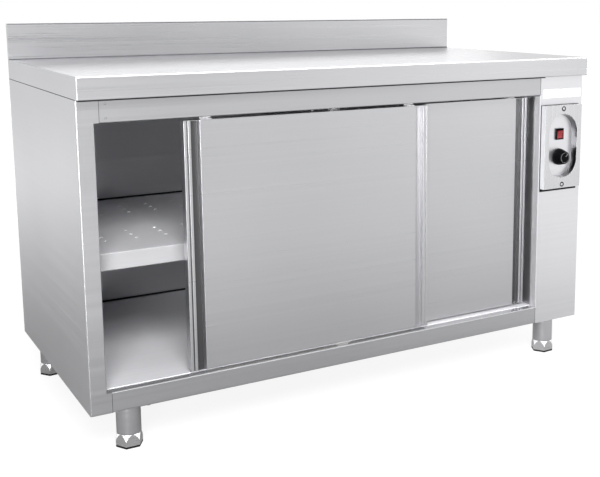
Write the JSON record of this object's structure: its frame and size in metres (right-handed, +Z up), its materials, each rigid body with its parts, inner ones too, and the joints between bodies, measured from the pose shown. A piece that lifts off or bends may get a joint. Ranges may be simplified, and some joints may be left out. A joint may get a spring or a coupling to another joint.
{
  "type": "plate warmer cabinet",
  "caption": "Heated plate cabinet in folded stainless sheet with hanging sliding doors, a perforated shelf, a worktop with an upstand and a heater column with recessed controls.",
  "frame": {"origin": "centre of the object's outline in plan, on the floor under the feet", "axes": "+X along the width to the heater column, +Y from the doors to the back, +Z up"},
  "size_m": [1.4, 0.708, 0.945],
  "materials": {
    "brushed_steel": "brushed stainless",
    "inner_steel": "mill finish stainless",
    "track_alloy": "drawn aluminium",
    "turned_steel": "turned and polished",
    "board": "plain chipboard",
    "mineral_wool": "mineral wool slab",
    "nylon": "moulded nylon",
    "black_plastic": "moulded phenolic",
    "red_lens": "clear red moulding",
    "black_rubber": "moulded rubber",
    "heater_sheath": "oxidised sheath",
    "motor_paint": "painted casting",
    "ceramic": "ceramic white",
    "galvanised": "galvanised sheet"
  },
  "bodies": {
    "root": {"worktop": "brushed_steel", "worktop_board": "board", "worktop_bearers": "galvanised", "left_side_panel": "brushed_steel", "left_inner_wall": "inner_steel", "left_insulation": "mineral_wool", "right_side_panel": "brushed_steel", "rear_panel": "inner_steel", "ceiling_panel": "inner_steel", "floor_panel": "inner_steel", "floor_bearers": "galvanised", "bottom_rail": "brushed_steel", "top_rail": "brushed_steel", "door_track": "track_alloy", "track_stops": "black_rubber", "door_guide": "nylon", "column_front": "brushed_steel", "column_partition": "inner_steel", "column_base": "galvanised", "shelf": "inner_steel", "shelf_brackets": "inner_steel", "shelf_stiffener": "inner_steel", "control_cover": "brushed_steel", "cover_screws": "turned_steel", "switch_body": "black_plastic", "thermostat_body": "galvanised", "thermal_cutout": "ceramic", "terminal_block": "ceramic", "cable_gland": "black_plastic", "fan_shroud": "galvanised", "heating_element": "heater_sheath", "fan_motor": "motor_paint", "leg_plates": "galvanised", "leg_tubes": "brushed_steel"},
    "front_door": {"front_door_skin": "brushed_steel", "front_door_liner": "inner_steel", "front_door_core": "mineral_wool", "front_door_hangers": "brushed_steel"},
    "front_roller_left": {"front_roller_left": "nylon"},
    "front_roller_right": {"front_roller_right": "nylon"},
    "rear_door": {"rear_door_skin": "brushed_steel", "rear_door_liner": "inner_steel", "rear_door_core": "mineral_wool", "rear_door_hangers": "brushed_steel"},
    "rear_roller_left": {"rear_roller_left": "nylon"},
    "rear_roller_right": {"rear_roller_right": "nylon"},
    "rocker": {"switch_rocker": "red_lens"},
    "knob": {"thermostat_knob": "black_plastic", "thermostat_spindle": "turned_steel"},
    "fan": {"fan_shaft": "turned_steel", "fan_wheel": "galvanised"},
    "foot_front_left": {"foot_front_left": "turned_steel", "pad_front_left": "black_rubber"},
    "foot_front_right": {"foot_front_right": "turned_steel", "pad_front_right": "black_rubber"},
    "foot_rear_left": {"foot_rear_left": "turned_steel", "pad_rear_left": "black_rubber"},
    "foot_rear_right": {"foot_rear_right": "turned_steel", "pad_rear_right": "black_rubber"}
  },
  "joints": [
    {"name": "front_door_slide", "type": "slide", "parent": "root", "child": "front_door", "axis": [1, 0, 0], "range_m": [-0.1875, 0.3435]},
    {"name": "rear_door_slide", "type": "slide", "parent": "root", "child": "rear_door", "axis": [1, 0, 0], "range_m": [-0.531, 0]},
    {"name": "front_roller_left_spin", "type": "hinge", "parent": "front_door", "child": "front_roller_left", "pos_m": [-0.4065, -0.301, 0.7658], "axis": [0, 1, 0], "range_deg": [-899, 1644]},
    {"name": "front_roller_right_spin", "type": "hinge", "parent": "front_door", "child": "front_roller_right", "pos_m": [0.1395, -0.301, 0.7658], "axis": [0, 1, 0], "range_deg": [-899, 1644]},
    {"name": "rear_roller_left_spin", "type": "hinge", "parent": "rear_door", "child": "rear_roller_left", "pos_m": [-0.063, -0.274, 0.7658], "axis": [0, 1, 0], "range_deg": [-2539, 4]},
    {"name": "rear_roller_right_spin", "type": "hinge", "parent": "rear_door", "child": "rear_roller_right", "pos_m": [0.483, -0.274, 0.7658], "axis": [0, 1, 0], "range_deg": [-2539, 4]},
    {"name": "switch_rocker_tilt", "type": "hinge", "parent": "root", "child": "rocker", "pos_m": [0.621, -0.326, 0.63875], "axis": [1, 0, 0], "range_deg": [-18, 0]},
    {"name": "thermostat_knob_turn", "type": "hinge", "parent": "root", "child": "knob", "pos_m": [0.621, -0.326, 0.57475], "axis": [0, 1, 0], "range_deg": [-180, 90]},
    {"name": "fan_spin", "type": "hinge", "parent": "root", "child": "fan", "pos_m": [0.5614, 0.046, 0.3], "axis": [1, 0, 0], "continuous": true},
    {"name": "foot_front_left_level", "type": "slide", "parent": "root", "child": "foot_front_left", "axis": [0, 0, 1], "range_m": [-0.03, 0]},
    {"name": "foot_front_right_level", "type": "slide", "parent": "root", "child": "foot_front_right", "axis": [0, 0, 1], "range_m": [-0.03, 0]},
    {"name": "foot_rear_left_level", "type": "slide", "parent": "root", "child": "foot_rear_left", "axis": [0, 0, 1], "range_m": [-0.03, 0]},
    {"name": "foot_rear_right_level", "type": "slide", "parent": "root", "child": "foot_rear_right", "axis": [0, 0, 1], "range_m": [-0.03, 0]}
  ],
  "couplings": [
    {"joint": "front_roller_left_spin", "follows": "front_door_slide", "rad_per_m": 83.333},
    {"joint": "front_roller_right_spin", "follows": "front_door_slide", "rad_per_m": 83.333},
    {"joint": "rear_roller_left_spin", "follows": "rear_door_slide", "rad_per_m": 83.333},
    {"joint": "rear_roller_right_spin", "follows": "rear_door_slide", "rad_per_m": 83.333}
  ]
}
